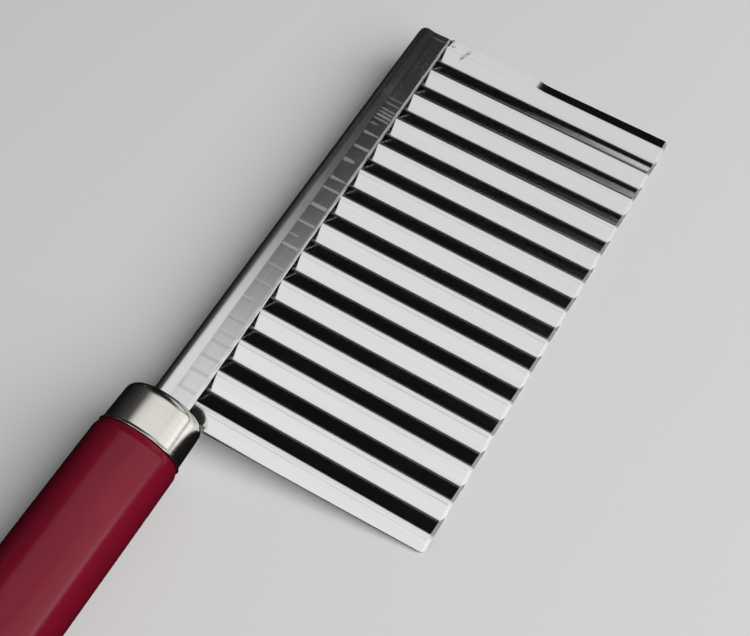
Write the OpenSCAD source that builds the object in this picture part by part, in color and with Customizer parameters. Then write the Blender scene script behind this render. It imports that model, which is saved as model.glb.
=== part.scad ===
// Crinkle cutter: a corrugated blade crimped in a folded spine, carried by a rod that runs through a
// ferrule into a round handle.
// Millimetres. The origin is the middle of the hang hole in the handle's butt. X runs along the handle
// to the blade's far end, the cutting edge faces -Y, and Z is up off the blade's face.

/* [Blade] */
// Length of the blade along the spine
blade_len = 123.5; // [80:0.1:160]
// Distance from the handle's axis to the cutting edge
edge_reach = 64.4; // [45:0.1:80]
// Distance from one ridge to the next
wave_pitch = 9; // [7:0.1:14]
// Slope of the facets between ridge and valley, in degrees
facet_tilt = 22.5; // [15:0.5:32]
// Radius of the bends, at mid-sheet
bend_r = 0.8; // [0.6:0.05:1.5]
// Thickness of the blade's sheet
sheet_t = 0.5; // [0.3:0.05:0.8]
// Distance from the blade's near end to the first ridge
first_ridge = 4.9; // [2:0.1:8]
// How far the near end leans back at the cutting edge
end_skew = 1.1; // [0:0.1:3]
// How far the near end reaches back beside the ferrule
near_lap = 1.1; // [0:0.1:2]
// Radius of the two corners on the cutting edge
corner_r = 1; // [0.4:0.1:4]
// Width of the ground bevel
bevel_w = 0.7; // [0.4:0.05:2]
// Thickness left at the cutting edge
edge_t = 0.08; // [0.04:0.01:0.15]

/* [Spine] */
// Thickness of the folded sheet
spine_wall = 0.5; // [0.3:0.05:1]
// Distance from the rod's axis to the flanges' lips at the near end
lip_near = 8.1; // [6:0.1:14]
// Distance from the rod's axis to the flanges' lips at the far end
lip_far = 7; // [5:0.1:14]
// Distance from the rod's axis to the crease between the back and the flat flanges
crease_at = 2.3; // [2:0.1:4]
// Height of the rod's axis over the handle's axis, away from the edge, at the ferrule's face
spine_rise = 2.95; // [0:0.05:4]
// Angle between the rod and the handle, in degrees
spine_cant = 0.42; // [0:0.02:2]
// Radius of the spine's rounded corner at the far end
spine_end_r = 1.5; // [0.5:0.1:2.5]
// Distance that the spine stops short of the blade's far end
spine_inset = 0.4; // [0:0.1:5]

/* [Tang rod] */
// Diameter of the rod
rod_d = 3; // [2.4:0.1:3.6]
// Length of the rod inside the handle and the ferrule
tang_len = 60; // [30:1:75]
// Distance that the rod stops short of the spine's far end
rod_inset = 1; // [0.2:0.1:10]

/* [Ferrule] */
// Length of the ferrule
ferrule_len = 10.9; // [8:0.1:20]
// Outer diameter at the rim
rim_d = 20.6; // [20.2:0.1:24]
// Outer diameter behind the front shoulder
front_d = 19.3; // [17:0.1:20]
// Thickness of the ferrule's wall
ferrule_wall = 0.6; // [0.4:0.05:1]
// Radius of the front shoulder
shoulder_r = 2.2; // [1.2:0.1:3.5]
// Length of the flare at the rim
flare_len = 0.8; // [0.4:0.1:2]

/* [Handle] */
// Length of the handle behind the ferrule
handle_len = 105; // [90:1:140]
// Diameter where the handle meets the ferrule
handle_front_d = 21; // [20.4:0.1:22]
// Diameter at the belly
belly_d = 21.4; // [21:0.1:26]
// Distance of the belly behind the ferrule
belly_at = 62; // [40:1:75]
// Diameter where the butt begins to round off
butt_d = 19.7; // [16:0.1:22]
// Length of the rounded butt
butt_round = 8; // [5:0.5:14]
// Length of the rounding at the handle's front
front_round = 2; // [0.5:0.1:4]

/* [Hang hole] */
// Diameter of the hole
hole_d = 5; // [3:0.1:7]
// Distance from the end of the butt to the middle of the hole
hole_inset = 12; // [9:0.5:20]

/* [Clearances] */
// Gap between the ridges and the flanges on each side
grip_gap = 0.05; // [0.02:0.01:0.2]
// Gap between the rod and what is round it
rod_gap = 0.08; // [0.03:0.01:0.2]
// Gap between the blade's back edge and the rod
back_gap = 0.3; // [0.1:0.05:1]
// Gap between the ferrule and the blade and spine in front of it
face_gap = 0.15; // [0.1:0.05:1]
// Gap between the ferrule and the handle's neck
neck_gap = 0.12; // [0.05:0.01:0.3]
// Gap between the ferrule's rim and the handle's shoulder
seat_gap = 0.2; // [0.1:0.05:0.5]

/* [Hidden] */
$fn = 96;

// Room by which a cut runs past what it cuts
over = 2;
// Steps in a bend, in a rounded corner, along the handle and round its butt
bend_steps = 6;
corner_steps = 6;
body_steps = 20;
butt_steps = 14;
// How square the butt is: 2 is an ellipse
butt_power = 2.4;

steel = [0.80, 0.81, 0.82];
spine_steel = [0.66, 0.67, 0.69];
rod_steel = [0.50, 0.51, 0.52];
ferrule_steel = [0.84, 0.82, 0.78];
crimson = [0.47, 0.03, 0.12];

// Height of the corrugation at mid-sheet, and of the whole blade
wave_h = wave_pitch / 2 * tan(facet_tilt) - 2 * bend_r * (1 / cos(facet_tilt) - 1);
blade_h = wave_h + sheet_t;

rod_r = rod_d / 2;
back_in_r = rod_r + rod_gap;
back_out_r = back_in_r + spine_wall;
flange_in = blade_h / 2 + grip_gap;
flange_out = flange_in + spine_wall;
// Angle at which the sheet leaves the round back for the crease
back_slope = asin(back_out_r / norm([crease_at, flange_out])) - atan(flange_out / crease_at);

// Places along X
handle_front = handle_len - hole_inset;
rim_x = handle_front + seat_gap;
face_x = rim_x + ferrule_len;
notch_x = face_x + face_gap;
near_x = face_x - near_lap;
far_x = near_x + blade_len;
spine_len = far_x - spine_inset - face_x;

// Places across the blade: the back edge follows the rod, and the near end is notched for the ferrule
notch_reach = front_d / 2 + face_gap;
back_reach = rod_r + rod_gap + back_gap;
function rod_y(x) = spine_rise + (x - face_x) * tan(spine_cant);
back_near = rod_y(notch_x) - back_reach;
back_far = rod_y(far_x) - back_reach;

bevel_angle = atan((sheet_t - edge_t) / bevel_w);
neck_r = front_d / 2 - ferrule_wall - neck_gap;
neck_front = face_x - ferrule_wall - shoulder_r;

function unit(v) = v / norm(v);

// Points of the arc that rounds the corner b between a and c, for a turn to the left
function corner_arc(a, b, c, r) =
    let (
        to_a = unit(a - b),
        to_c = unit(c - b),
        half = acos(to_a * to_c) / 2,
        centre = b + unit(to_a + to_c) * r / sin(half),
        first = b + to_a * r / tan(half) - centre,
        start = atan2(first.y, first.x),
        turn = 180 - 2 * half
    )
    [for (i = [0:corner_steps])
        let (angle = start + turn * i / corner_steps)
        centre + r * [cos(angle), sin(angle)]];

// One face of the corrugated sheet, as points of X and Z: side is 1 for the top and -1 for the underside
first_bend = -2;
last_bend = ceil(2 * blade_len / wave_pitch) + 2;
function bend_x(j) = near_x + first_ridge + j * wave_pitch / 2;
function wave_face(side, squeeze = 1) =
    [for (j = [first_bend:last_bend])
        let (
            up = j % 2 == 0 ? 1 : -1,
            r = bend_r + up * side * sheet_t / 2,
            centre_z = up * (wave_h / 2 - bend_r)
        )
        for (i = [0:bend_steps])
            let (angle = facet_tilt * (2 * i / bend_steps - 1))
            [bend_x(j) + r * sin(angle), squeeze * (centre_z + up * r * cos(angle))]];

function backwards(points) = [for (i = [len(points) - 1:-1:0]) points[i]];

// Moves children from the handle's frame to the rod's, with X along the rod from the ferrule's face
module rod_frame() {
    translate([face_x, spine_rise, 0])
        rotate([0, 0, spine_cant])
            children();
}

// A rod along X
module bar(r, from, to) {
    translate([from, 0, 0])
        rotate([0, 90, 0])
            cylinder(r = r, h = to - from);
}

// Extrudes an outline of X and Z towards the cutting edge
module across(from_y, length) {
    translate([0, from_y, 0])
        rotate([90, 0, 0])
            linear_extrude(height = length)
                children();
}

// Turns an outline of radius and X round the handle's axis
module turned() {
    rotate([0, 90, 0])
        rotate_extrude()
            children();
}

module corrugated_sheet() {
    across(back_far + over, back_far + edge_reach + 2 * over)
        polygon(concat(wave_face(1), backwards(wave_face(-1))));
}

module blade_outline() {
    near_back = [notch_x, back_near];
    notch = [notch_x, -notch_reach];
    near_corner = [near_x, -notch_reach];
    near_edge = [near_x + end_skew, -edge_reach];
    far_edge = [far_x, -edge_reach];
    far_back = [far_x, back_far];
    translate([0, 0, -blade_h])
        linear_extrude(height = 2 * blade_h)
            polygon(concat(
                [near_back, notch, near_corner],
                corner_arc(near_corner, near_edge, far_edge, corner_r),
                corner_arc(near_edge, far_edge, far_back, corner_r),
                [far_back]
            ));
}

// What the grinding takes off along the top of the cutting edge
module ground_bevel() {
    top = wave_face(1, cos(bevel_angle));
    ends_x = [top[0].x, top[len(top) - 1].x];
    translate([0, bevel_w - edge_reach, 0])
        rotate([bevel_angle, 0, 0])
            across(over, bevel_w + 3 * over)
                polygon(concat(top, [[ends_x[1], 2 * blade_h], [ends_x[0], 2 * blade_h]]));
}

module blade() {
    color(steel)
        difference() {
            intersection() {
                corrugated_sheet();
                blade_outline();
            }
            ground_bevel();
        }
}

// One side of the folded sheet, filled, as an outline of Y and Z: a round back, a taper to the crease and
// a flat part of the given half height
module spine_side(r, half, reach) {
    leave = r * [-sin(back_slope), cos(back_slope)];
    crease = [leave.x - (leave.y - half) / tan(back_slope), half];
    top = [leave, crease, [-reach, half]];
    circle(r = r);
    polygon(concat(top, backwards([for (p = top) [p.x, -p.y]])));
}

// The folded sheet, as an outline of Y and Z
module spine_section() {
    lip = max(lip_near, lip_far) + over;
    difference() {
        spine_side(back_out_r, flange_out, lip);
        spine_side(back_in_r, flange_in, lip + over);
    }
}

// What is left of the folded sheet after its lips and ends are cut, as an outline of X and Y
module spine_outline() {
    near_lip = [-over, -lip_near];
    far_lip = [spine_len, -lip_far];
    far_back = [spine_len, back_out_r];
    near_back = [-over, back_out_r];
    polygon(concat(
        [near_lip, far_lip],
        corner_arc(far_lip, far_back, near_back, spine_end_r),
        [near_back]
    ));
}

module spine() {
    color(spine_steel)
        difference() {
            rod_frame()
                intersection() {
                    translate([-over, 0, 0])
                        rotate([90, 0, 90])
                            linear_extrude(height = spine_len + 2 * over)
                                spine_section();
                    translate([0, 0, -back_out_r - over])
                        linear_extrude(height = 2 * (back_out_r + over))
                            spine_outline();
                }
            translate([notch_x - 2 * over, -edge_reach, -back_out_r - over])
                cube([2 * over, 2 * edge_reach, 2 * (back_out_r + over)]);
        }
}

module tang_rod() {
    color(rod_steel)
        rod_frame()
            bar(rod_r, -tang_len, spine_len - rod_inset);
}

// Half section of the drawn cup, as radius and X
module ferrule_section() {
    rim_r = rim_d / 2;
    front_r = front_d / 2;
    side_r = front_r + (rim_r - front_r) / 3;
    flare_x = rim_x + flare_len;
    turn_x = face_x - shoulder_r;
    turn_r = front_r - shoulder_r;
    inner_r = shoulder_r - ferrule_wall;
    quarter = [for (i = [0:corner_steps]) 90 * i / corner_steps];
    outside = [for (a = quarter) [turn_r + shoulder_r * cos(a), turn_x + shoulder_r * sin(a)]];
    inside = [for (a = quarter) [turn_r + inner_r * cos(a), turn_x + inner_r * sin(a)]];
    polygon(concat(
        [[rim_r, rim_x], [side_r, flare_x]],
        outside,
        [[0, face_x], [0, face_x - ferrule_wall]],
        backwards(inside),
        [[side_r - ferrule_wall, flare_x], [rim_r - ferrule_wall, rim_x]]
    ));
}

module ferrule() {
    color(ferrule_steel)
        difference() {
            turned()
                ferrule_section();
            rod_frame()
                bar(rod_r + rod_gap, -shoulder_r - over, over);
        }
}

// Radius of the handle at a distance behind the ferrule
function body_r(behind) =
    let (
        span = behind < belly_at ? belly_at : handle_len - butt_round - belly_at,
        end_d = behind < belly_at ? handle_front_d : butt_d,
        share = (behind - belly_at) / span
    )
    (belly_d - (belly_d - end_d) * share * share) / 2;

// Half section of the handle with its neck, as radius and X
module handle_section() {
    body_end = handle_len - butt_round;
    neck = [[0, neck_front], [neck_r, neck_front]];
    shoulder_h = body_r(front_round) - neck_r;
    shoulder = [for (i = [0:corner_steps])
        let (angle = 90 * i / corner_steps)
        [neck_r + shoulder_h * sin(angle), handle_front - front_round * (1 - cos(angle))]];
    body = [for (i = [1:body_steps])
        let (behind = front_round + (body_end - front_round) * i / body_steps)
        [body_r(behind), handle_front - behind]];
    butt = [for (i = [1:butt_steps])
        let (
            share = sin(90 * i / butt_steps),
            left = pow(max(0, 1 - pow(share, butt_power)), 1 / butt_power)
        )
        [butt_d / 2 * left, handle_front - body_end - butt_round * share]];
    polygon(concat(neck, shoulder, body, butt));
}

module handle() {
    color(crimson)
        difference() {
            turned()
                handle_section();
            rod_frame()
                bar(rod_r + rod_gap, -tang_len - back_gap, over);
            translate([0, 0, -belly_d])
                cylinder(d = hole_d, h = 2 * belly_d);
        }
}

blade();
spine();
tang_rod();
ferrule();
handle();
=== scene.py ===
"""Looks of a crinkle cutter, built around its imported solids.

A corrugated steel blade is gripped by a folded steel spine. A rod in the spine runs through a steel
ferrule into a round crimson handle. Shapes are worked out in millimetres, in the frame of the solids,
and handed over in metres.
"""

from __future__ import annotations

import logging
import math
from dataclasses import dataclass
from enum import Enum
from functools import cache
from typing import Callable, Iterable, Sequence

import bmesh
import bpy
import numpy as np
from mathutils import Matrix, Vector

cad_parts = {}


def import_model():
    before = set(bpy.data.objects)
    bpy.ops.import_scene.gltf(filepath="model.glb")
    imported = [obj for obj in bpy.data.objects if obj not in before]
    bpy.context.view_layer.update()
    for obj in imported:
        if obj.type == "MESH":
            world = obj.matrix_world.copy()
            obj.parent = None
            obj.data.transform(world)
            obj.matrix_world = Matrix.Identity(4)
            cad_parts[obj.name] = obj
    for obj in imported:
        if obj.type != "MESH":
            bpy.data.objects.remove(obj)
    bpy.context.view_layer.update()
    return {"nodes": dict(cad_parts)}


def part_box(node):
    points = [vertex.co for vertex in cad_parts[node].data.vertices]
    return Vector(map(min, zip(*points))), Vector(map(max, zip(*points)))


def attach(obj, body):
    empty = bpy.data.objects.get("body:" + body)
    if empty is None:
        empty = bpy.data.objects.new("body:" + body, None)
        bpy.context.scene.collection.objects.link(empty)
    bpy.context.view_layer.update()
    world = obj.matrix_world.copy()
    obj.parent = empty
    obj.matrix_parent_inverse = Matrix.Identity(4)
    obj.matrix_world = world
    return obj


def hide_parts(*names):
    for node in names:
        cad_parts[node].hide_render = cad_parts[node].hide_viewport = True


LOG = logging.getLogger("crinkle_cutter")

MM = 0.001
BODY = "root"

ROD_RISE = 2.95
ROD_CANT = math.radians(0.42)
ROD_HOLE_R = 1.58
FERRULE_FRONT_D = 19.3

PIN_STEPS = 48
PIN_SHARP = 35.0

CLOUD_RANGE = (0.3, 0.7)

Colour = tuple[float, float, float]
Triple = tuple[float, float, float]
Pair = tuple[float, float]
Socket = bpy.types.NodeSocket


def ease(value: np.ndarray, low: float, high: float) -> np.ndarray:
    """Smooth step from 0 at low to 1 at high.

    Args:
        value: Where the step is read.
        low: Place where the step begins.
        high: Place where the step ends. It may lie below low.

    Returns:
        Values from 0 to 1.
    """
    share = np.clip((value - low) / (high - low), 0.0, 1.0)
    return share * share * (3.0 - 2.0 * share)


@dataclass(frozen=True)
class Extent:
    """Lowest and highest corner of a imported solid, in millimetres."""

    low: np.ndarray
    high: np.ndarray

    @classmethod
    def of(cls, node: str) -> Extent:
        """Extent of the solid with this node name."""
        low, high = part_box(node)
        return cls(np.array(low) / MM, np.array(high) / MM)


class Shell:
    """Collects points and faces of one closed mesh, in millimetres."""

    def __init__(self) -> None:
        """Starts with no points."""
        self.points: list[np.ndarray] = []
        self.faces: list[tuple[int, ...]] = []
        self.count = 0

    def add(self, grid: np.ndarray) -> np.ndarray:
        """Adds a grid of points.

        Args:
            grid: Points, with X, Y and Z in the last axis.

        Returns:
            The points' numbers, in the grid's shape.
        """
        flat = grid.reshape(-1, 3)
        numbers = np.arange(self.count, self.count + len(flat)).reshape(grid.shape[:-1])
        self.points.append(flat)
        self.count += len(flat)
        return numbers

    def skin(self, numbers: np.ndarray) -> None:
        """Joins the neighbours in a grid of point numbers by quads."""
        corners = (numbers[:-1, :-1], numbers[1:, :-1], numbers[1:, 1:], numbers[:-1, 1:])
        quads = np.stack([corner.ravel() for corner in corners], axis=1)
        self.faces.extend(tuple(int(number) for number in quad) for quad in quads)

    def wall(self, first: np.ndarray, second: np.ndarray) -> None:
        """Joins two rows of point numbers by quads."""
        self.skin(np.stack([first, second]))

    def slab(self, first: np.ndarray, second: np.ndarray) -> None:
        """Closes two grids of point numbers, the faces of a sheet, by walls round their borders."""
        self.skin(first)
        self.skin(second)
        for side in (np.s_[0, :], np.s_[-1, :], np.s_[:, 0], np.s_[:, -1]):
            self.wall(first[side], second[side])

    def fan(self, tip: int, ring: np.ndarray) -> None:
        """Joins a closed ring of point numbers to one point by triangles."""
        self.faces.extend((tip, int(a), int(b)) for a, b in zip(ring[:-1], ring[1:]))

    def make(self, name: str, sharp: float) -> bpy.types.Object:
        """Makes a smooth-shaded object.

        Args:
            name: Name of the object and its mesh.
            sharp: Angle in degrees above which an edge stays sharp.

        Returns:
            The object, in the scene.
        """
        mesh = bpy.data.meshes.new(name)
        mesh.from_pydata((np.concatenate(self.points) * MM).tolist(), [], self.faces)
        work = bmesh.new()
        work.from_mesh(mesh)
        bmesh.ops.recalc_face_normals(work, faces=work.faces)
        work.to_mesh(mesh)
        work.free()
        shade(mesh, sharp)
        piece = bpy.data.objects.new(name, mesh)
        bpy.context.scene.collection.objects.link(piece)
        return piece


def store(piece: bpy.types.Object, name: str, values: np.ndarray) -> None:
    """Stores a value at each point of a piece, for its material to read."""
    layer = piece.data.attributes.new(name, "FLOAT", "POINT")
    layer.data.foreach_set("value", values.ravel().astype(np.float32))


def shade(mesh: bpy.types.Mesh, sharp: float) -> None:
    """Shades a mesh smooth and keeps edges over an angle in degrees sharp."""
    mesh.shade_smooth()
    mesh.set_sharp_from_angle(angle=math.radians(sharp))


def lathe(name: str, profile: Sequence[Pair], steps: int, sharp: float) -> bpy.types.Object:
    """Turns a profile round the handle's axis.

    Args:
        name: Name of the new object.
        profile: Radius and X of each point, from one end on the axis to the other.
        steps: Steps round the axis.
        sharp: Angle in degrees above which an edge stays sharp.

    Returns:
        The turned object.
    """
    shell = Shell()
    turns = np.linspace(0.0, 2.0 * math.pi, steps, endpoint=False)
    rings = np.array(profile[1:-1])
    radius, along = rings[:, :1], rings[:, 1:]
    grid = np.stack([along + 0.0 * turns, radius * np.cos(turns), radius * np.sin(turns)], axis=-1)
    numbers = shell.add(grid)
    closed = np.concatenate([numbers, numbers[:, :1]], axis=1)
    shell.skin(closed)
    for tip, ring in ((profile[0], closed[0]), (profile[-1], closed[-1])):
        pole = shell.add(np.array([[tip[1], 0.0, 0.0]]))
        shell.fan(int(pole[0]), ring)
    return shell.make(name, sharp)


def pin(name: str, radius: float, front: float, back: float) -> bpy.types.Object:
    """A round cutter along X, between two places."""
    profile = [(0.0, front), (radius, front), (radius, back), (0.0, back)]
    return lathe(name, profile, PIN_STEPS, PIN_SHARP)


def cut(piece: bpy.types.Object, cutter: bpy.types.Object, sharp: float) -> None:
    """Takes a cutter's volume out of a piece and deletes the cutter.

    Args:
        piece: The piece that is cut.
        cutter: A closed object.
        sharp: Angle in degrees above which the piece's edges stay sharp.
    """
    step = piece.modifiers.new("cut", "BOOLEAN")
    step.operation = "DIFFERENCE"
    step.solver = "EXACT"
    step.object = cutter
    graph = bpy.context.evaluated_depsgraph_get()
    result = bpy.data.meshes.new_from_object(piece.evaluated_get(graph))
    piece.modifiers.clear()
    old = piece.data
    piece.data = result
    bpy.data.meshes.remove(old)
    result.name = piece.name
    bpy.data.objects.remove(cutter)
    shade(result, sharp)


class Bench:
    """Places nodes in one node tree and wires them."""

    def __init__(self, tree: bpy.types.NodeTree) -> None:
        """Works on an empty node tree."""
        self.tree = tree

    def add(self, kind: str, inputs: dict | None = None, **settings: object) -> bpy.types.Node:
        """Adds a node.

        Args:
            kind: Type of the node, without the leading ShaderNode.
            inputs: Value or source of each input, by name or number.
            settings: Properties of the node.

        Returns:
            The new node.
        """
        node = self.tree.nodes.new("ShaderNode" + kind)
        for name, value in settings.items():
            setattr(node, name, value)
        for key, value in (inputs or {}).items():
            if isinstance(value, Socket):
                self.tree.links.new(value, node.inputs[key])
            else:
                node.inputs[key].default_value = value
        return node

    def math(self, operation: str, first: object, second: object = 0.0) -> Socket:
        """Result of a Math node on two values or sockets."""
        return self.add("Math", {0: first, 1: second}, operation=operation).outputs[0]

    def times(self, first: object, second: object) -> Socket:
        """Product of two values or sockets."""
        return self.math("MULTIPLY", first, second)

    def plus(self, first: object, second: object) -> Socket:
        """Sum of two values or sockets."""
        return self.math("ADD", first, second)

    def minus(self, first: object, second: object) -> Socket:
        """Difference of two values or sockets."""
        return self.math("SUBTRACT", first, second)

    def shared(self, effect: Effect, inputs: dict) -> bpy.types.bpy_prop_collection:
        """Outputs of a shared effect, by name."""
        return self.add("Group", inputs, node_tree=group(effect)).outputs

    def scaled(self, vector: Socket, factors: Triple | Socket) -> Socket:
        """A vector with each part multiplied."""
        return self.add("VectorMath", {0: vector, 1: factors}, operation="MULTIPLY").outputs[0]

    def noise(self, vector: Socket, scale: float, detail: float = 2.0) -> Socket:
        """Noise from 0 to 1 at a vector."""
        inputs = {"Vector": vector, "Scale": scale, "Detail": detail}
        return self.add("TexNoise", inputs).outputs[0]

    def remap(self, value: Socket, low: float, high: float, start: float = 0.0, end: float = 1.0) -> Socket:
        """Maps the range from low to high smoothly to the range from start to end."""
        inputs = {"Value": value, "From Min": low, "From Max": high, "To Min": start, "To Max": end}
        return self.add("MapRange", inputs, interpolation_type="SMOOTHSTEP").outputs[0]

    def mix(self, share: object, first: object, second: object) -> Socket:
        """A colour between two colours."""
        inputs = {0: share, 6: first, 7: second}
        return self.add("Mix", inputs, data_type="RGBA").outputs[2]

    def place(self) -> Socket:
        """Place on the object, in metres."""
        return self.add("TexCoord").outputs["Object"]

    def axis(self, vector: Socket, letter: str) -> Socket:
        """One part of a vector, in millimetres."""
        part = self.add("SeparateXYZ", {0: vector}).outputs[letter]
        return self.times(part, 1.0 / MM)

    def stored(self, name: str) -> Socket:
        """A value stored at the mesh's points."""
        return self.add("Attribute", attribute_name=name).outputs["Fac"]

    def weighed(self, start: Socket, *parts: tuple[Socket, float]) -> Socket:
        """A value with further values added, each times its weight."""
        total = start
        for value, weight in parts:
            total = self.plus(total, self.times(value, weight))
        return total

    def band(self, value: Socket, middle: float, half: float, blur: float) -> Socket:
        """Mask of 1 within half of the middle, falling to 0 over the blur."""
        away = self.math("ABSOLUTE", self.minus(value, middle))
        return self.remap(away, half, half + blur, 1.0, 0.0)


def rgba(colour: Colour) -> tuple[float, float, float, float]:
    """An opaque colour."""
    return (*colour, 1.0)


class Effect(Enum):
    """Shared effects, each one node group."""

    BRUSHING = "brushing"
    HANDLING = "handling"
    DUST = "dust"


def new_group(
    effect: Effect, inputs: dict[str, str], outputs: Iterable[str]
) -> tuple[Bench, dict, bpy.types.Node]:
    """Starts a node group.

    Args:
        effect: The effect that the group gives.
        inputs: Socket type of each input, by name.
        outputs: Names of the outputs, which are all values.

    Returns:
        A bench on the group, its inputs by name, and its output node.
    """
    tree = bpy.data.node_groups.new(effect.value, "ShaderNodeTree")
    for name, kind in inputs.items():
        tree.interface.new_socket(name=name, in_out="INPUT", socket_type="NodeSocket" + kind)
    for name in outputs:
        tree.interface.new_socket(name=name, in_out="OUTPUT", socket_type="NodeSocketFloat")
    bench = Bench(tree)
    source = tree.nodes.new("NodeGroupInput")
    sink = tree.nodes.new("NodeGroupOutput")
    return bench, {name: source.outputs[name] for name in inputs}, sink


def build_brushing() -> bpy.types.NodeTree:
    """Fine lines along one direction, with broad streaks among them."""
    bench, given, sink = new_group(
        Effect.BRUSHING, {"Vector": "Vector", "Stretch": "Vector"}, ("Lines", "Streaks")
    )
    broad_scale = 0.16
    fine_range, broad_range = (0.3, 0.7), (0.35, 0.68)
    drawn = bench.scaled(given["Vector"], given["Stretch"])
    fine = bench.noise(drawn, 1.0, 3.0)
    broad = bench.noise(drawn, broad_scale)
    bench.tree.links.new(bench.remap(fine, *fine_range), sink.inputs["Lines"])
    bench.tree.links.new(bench.remap(broad, *broad_range), sink.inputs["Streaks"])
    return bench.tree


def build_handling() -> bpy.types.NodeTree:
    """Soft smudges and broken hairline scratches."""
    bench, given, sink = new_group(
        Effect.HANDLING, {"Vector": "Vector", "Smudge Scale": "Float", "Scratch Scale": "Float"},
        ("Smudge", "Scratches"),
    )
    hair_turn, hair_stretch, hair_width = (0.4, 0.3, 0.7), (1.0, 0.12, 1.0), 0.012
    gap_scale = 260.0
    smudge_range, gap_range = (0.5, 0.72), (0.54, 0.64)
    place = given["Vector"]
    cloud = bench.add(
        "TexNoise", {"Vector": place, "Scale": given["Smudge Scale"], "Detail": 4.0, "Distortion": 0.6}
    )
    bench.tree.links.new(bench.remap(cloud.outputs[0], *smudge_range), sink.inputs["Smudge"])
    turned = bench.add("Mapping", {"Vector": place, "Rotation": hair_turn, "Scale": hair_stretch})
    net = {"Vector": turned.outputs[0], "Scale": given["Scratch Scale"]}
    cells = bench.add("TexVoronoi", net, feature="DISTANCE_TO_EDGE")
    hair = bench.remap(cells.outputs["Distance"], 0.0, hair_width, 1.0, 0.0)
    broken = bench.remap(bench.noise(place, gap_scale), *gap_range)
    bench.tree.links.new(bench.times(hair, broken), sink.inputs["Scratches"])
    return bench.tree


def build_dust() -> bpy.types.NodeTree:
    """Scattered specks, each in its own cell."""
    bench, given, sink = new_group(
        Effect.DUST, {"Vector": "Vector", "Scale": "Float", "Share": "Float"}, ("Specks",)
    )
    core, rim = 0.08, 0.16
    cells = bench.add("TexVoronoi", {"Vector": given["Vector"], "Scale": given["Scale"]})
    speck = bench.remap(cells.outputs["Distance"], core, rim, 1.0, 0.0)
    chance = bench.add("SeparateColor", {0: cells.outputs["Color"]}).outputs[0]
    chosen = bench.math("LESS_THAN", chance, given["Share"])
    bench.tree.links.new(bench.times(speck, chosen), sink.inputs["Specks"])
    return bench.tree


BUILDERS: dict[Effect, Callable[[], bpy.types.NodeTree]] = {
    Effect.BRUSHING: build_brushing,
    Effect.HANDLING: build_handling,
    Effect.DUST: build_dust,
}


@cache
def group(effect: Effect) -> bpy.types.NodeTree:
    """The node group of an effect, built once."""
    return BUILDERS[effect]()


@dataclass(frozen=True)
class Surface:
    """Sources of what changes over a surface."""

    colour: Socket
    roughness: Socket
    height: Socket


@dataclass(frozen=True)
class Finish:
    """A finish whose colour, roughness and relief come from nodes."""

    name: str
    colour: Colour
    shade: Colour
    roughness: float
    spread: float
    metallic: float
    specular: float
    relief: float

    def surface(self, bench: Bench, place: Socket) -> Surface:
        """Sources of colour, roughness and height at a place."""
        raise NotImplementedError

    def material(self) -> bpy.types.Material:
        """Makes the material."""
        material = bpy.data.materials.new(self.name)
        material.use_nodes = True
        material.node_tree.nodes.clear()
        bench = Bench(material.node_tree)
        surface = self.surface(bench, bench.place())
        bump = bench.add("Bump", {"Strength": 1.0, "Distance": self.relief * MM, "Height": surface.height})
        shader = bench.add("BsdfPrincipled", {
            "Base Color": surface.colour,
            "Roughness": surface.roughness,
            "Metallic": self.metallic,
            "Specular IOR Level": self.specular,
            "Normal": bump.outputs[0],
        })
        bench.add("OutputMaterial", {"Surface": shader.outputs[0]})
        return material


@dataclass(frozen=True)
class BrushedSteel(Finish):
    """Steel with lines along one direction, smudges and hairline scratches."""

    SCRATCH_SHARE = 0.35

    stretch: Triple
    smudge_scale: float
    scratch_scale: float

    def surface(self, bench: Bench, place: Socket) -> Surface:
        """Sources of colour, roughness and height at a place."""
        brushing = bench.shared(Effect.BRUSHING, {"Vector": place, "Stretch": self.stretch})
        wear = {"Vector": place, "Smudge Scale": self.smudge_scale, "Scratch Scale": self.scratch_scale}
        handling = bench.shared(Effect.HANDLING, wear)
        lines, streaks = brushing["Lines"], brushing["Streaks"]
        smudge, scratches = handling["Smudge"], handling["Scratches"]
        drawn = bench.times(bench.plus(lines, streaks), 0.5)
        colour = bench.mix(drawn, rgba(self.shade), rgba(self.colour))
        colour = bench.mix(bench.times(scratches, self.SCRATCH_SHARE), colour, rgba(self.shade))
        worn = bench.plus(bench.times(drawn, 0.5), bench.times(smudge, 0.5))
        roughness = bench.plus(bench.times(worn, self.spread), self.roughness)
        height = bench.minus(drawn, scratches)
        return self.detail(bench, place, Surface(colour, roughness, height))

    def detail(self, bench: Bench, place: Socket, surface: Surface) -> Surface:
        """Adds what only this steel has."""
        return surface


@dataclass(frozen=True)
class Smear:
    """A thin smear on the blade: its middle, its turn from the blade's length, and its half sizes."""

    END_SHARES = (0.4, 0.6)
    SIDE_SHARES = (0.2, 1.0)

    x: float
    y: float
    turn: float
    half_length: float
    half_width: float

    def mask(self, bench: Bench, along: Socket, across: Socket) -> Socket:
        """Mask of the smear, soft at its ends and sides."""
        sine, cosine = math.sin(math.radians(self.turn)), math.cos(math.radians(self.turn))
        right, up = bench.minus(along, self.x), bench.minus(across, self.y)
        lengthwise = bench.weighed(bench.times(right, cosine), (up, sine))
        crosswise = bench.weighed(bench.times(up, cosine), (right, -sine))
        ends = bench.band(lengthwise, 0.0, *(share * self.half_length for share in self.END_SHARES))
        sides = bench.band(crosswise, 0.0, *(share * self.half_width for share in self.SIDE_SHARES))
        return bench.times(ends, sides)


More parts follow.
